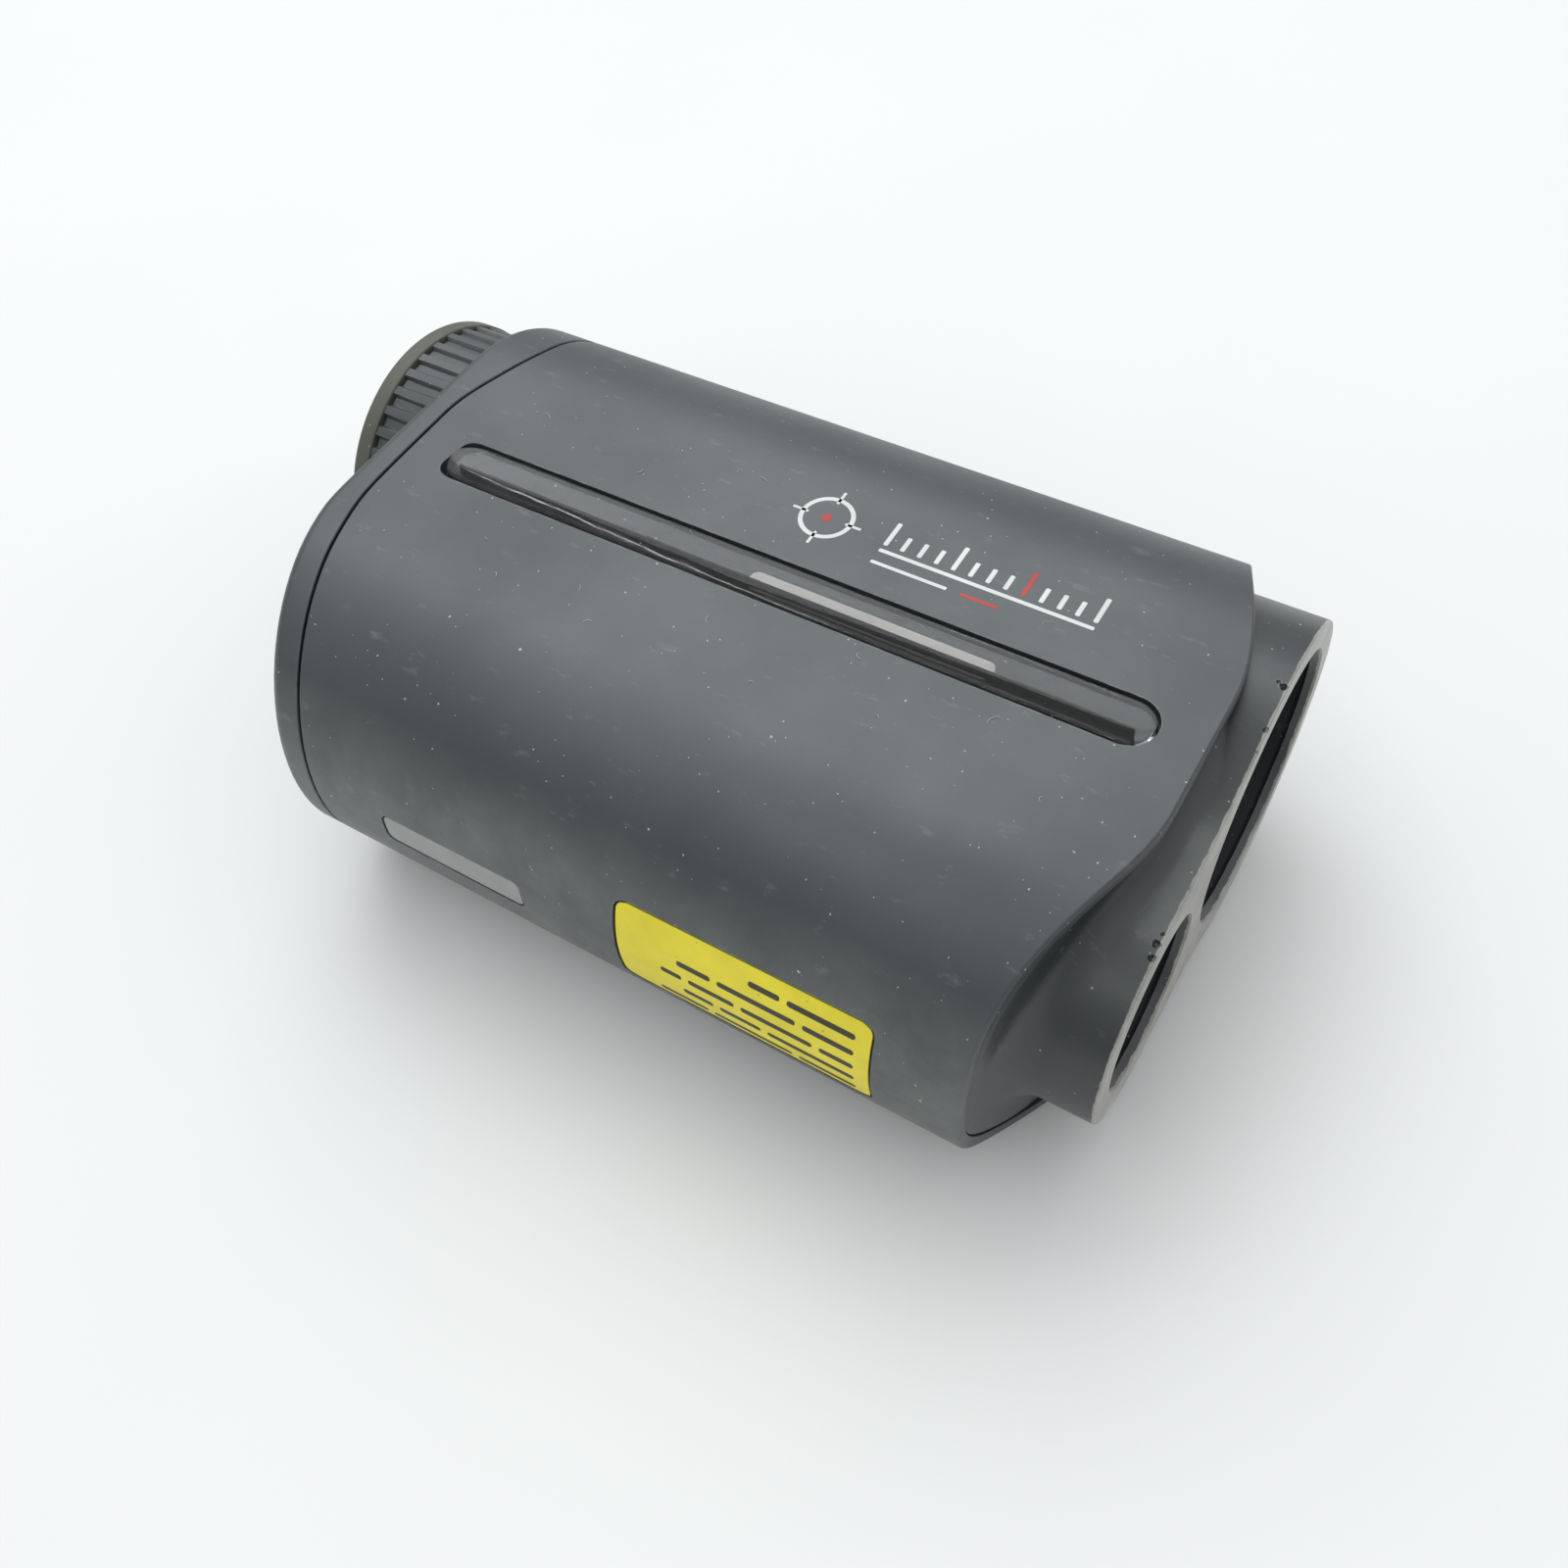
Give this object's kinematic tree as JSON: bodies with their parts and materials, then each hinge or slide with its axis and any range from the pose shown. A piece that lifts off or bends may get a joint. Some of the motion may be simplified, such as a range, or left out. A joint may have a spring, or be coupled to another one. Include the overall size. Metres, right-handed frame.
{
  "type": "laser rangefinder",
  "caption": "Hand-held monocular laser rangefinder with a rounded slab body, a figure-eight front barrel, a ribbed eyepiece ring, top buttons and a battery cap.",
  "frame": {"origin": "centre of the bounding box seen from above, on the left flat side that the device lies on", "axes": "+X points forward out of the objective, +Y points to the top of the device in use, +Z points out of its right side"},
  "size_m": [0.11, 0.07, 0.0397],
  "materials": {
    "body_black": "soft-touch matte black with a broad sheen, a little dust and a few edge chips",
    "frame_black": "fine matte black plastic, paler on its worn rim",
    "clear_strip": "smoked clear plastic with a crowned glossy face",
    "pale_diffuser": "milky grey diffuser",
    "circuit_board": "green solder mask",
    "yellow_label": "yellow film, satin",
    "grey_plate": "blank grey film plate",
    "bezel_black": "satin black plastic",
    "button_rubber": "matte dark rubber",
    "steel": "plain steel",
    "inner_black": "anti-reflection black",
    "eyecup_rubber": "soft dark rubber",
    "lens_glass": "coated glass",
    "brass": "turned brass",
    "cell_case": "bare metal cell case"
  },
  "bodies": {
    "housing": {"main_sleeve": "body_black", "rear_cover": "body_black", "front_frame": "frame_black", "side_light_lens": "clear_strip", "light_diffuser": "pale_diffuser", "light_board": "circuit_board", "yellow_label": "yellow_label", "blank_plate": "grey_plate", "button_bezel": "bezel_black", "button_board": "circuit_board", "measure_switch": "steel", "mode_switch": "steel", "eyepiece_tube": "inner_black", "optical_chassis": "inner_black", "prism_block": "lens_glass", "display_panel": "lens_glass", "laser_module": "brass", "objective_lens": "lens_glass", "objective_retainer": "inner_black", "receiver_lens": "lens_glass", "receiver_retainer": "inner_black", "receiver_cone": "inner_black", "detector_board": "circuit_board", "detector_can": "steel", "main_board": "circuit_board", "speaker": "steel", "battery_tube": "inner_black", "battery_contact": "brass", "cover_screw_1": "steel", "cover_screw_2": "steel", "tie_rod_1": "steel", "tie_rod_2": "steel"},
    "focus_ring": {"diopter_ring": "frame_black", "eyecup": "eyecup_rubber"},
    "ocular": {"ocular_cell": "inner_black", "eye_lens": "lens_glass", "field_lens": "lens_glass", "ocular_retainer": "inner_black"},
    "measure_key": {"measure_button": "button_rubber"},
    "mode_key": {"mode_button": "button_rubber"},
    "cell": {"battery": "cell_case"},
    "door": {"battery_cap": "frame_black", "cap_seal": "eyecup_rubber", "cap_spring": "brass"}
  },
  "joints": [
    {"name": "diopter_turn", "type": "hinge", "parent": "housing", "child": "focus_ring", "pos_m": [-0.05, 0.015, 0.01965], "axis": [1, 0, 0], "range_deg": [-120, 120]},
    {"name": "ocular_travel", "type": "slide", "parent": "housing", "child": "ocular", "axis": [1, 0, 0], "range_m": [-0.001, 0.001]},
    {"name": "measure_press", "type": "slide", "parent": "housing", "child": "measure_key", "axis": [0, -1, 0], "range_m": [0, 0.0006], "stiffness_N_per_m": 2500, "springref_m": -0.0002},
    {"name": "mode_press", "type": "slide", "parent": "housing", "child": "mode_key", "axis": [0, -1, 0], "range_m": [0, 0.0006], "stiffness_N_per_m": 2500, "springref_m": -0.0002},
    {"name": "cell_slide", "type": "slide", "parent": "housing", "child": "cell", "axis": [-0.9482, -0.3177, 0], "range_m": [0, 0.034]},
    {"name": "cap_turn", "type": "hinge", "parent": "cell", "child": "door", "pos_m": [-0.04092, -0.0219, 0.01965], "axis": [0.9482, 0.3177, 0], "range_deg": [0, 60]}
  ],
  "couplings": [
    {"joint": "ocular_travel", "follows": "diopter_turn", "m_per_rad": 0.00047746}
  ]
}
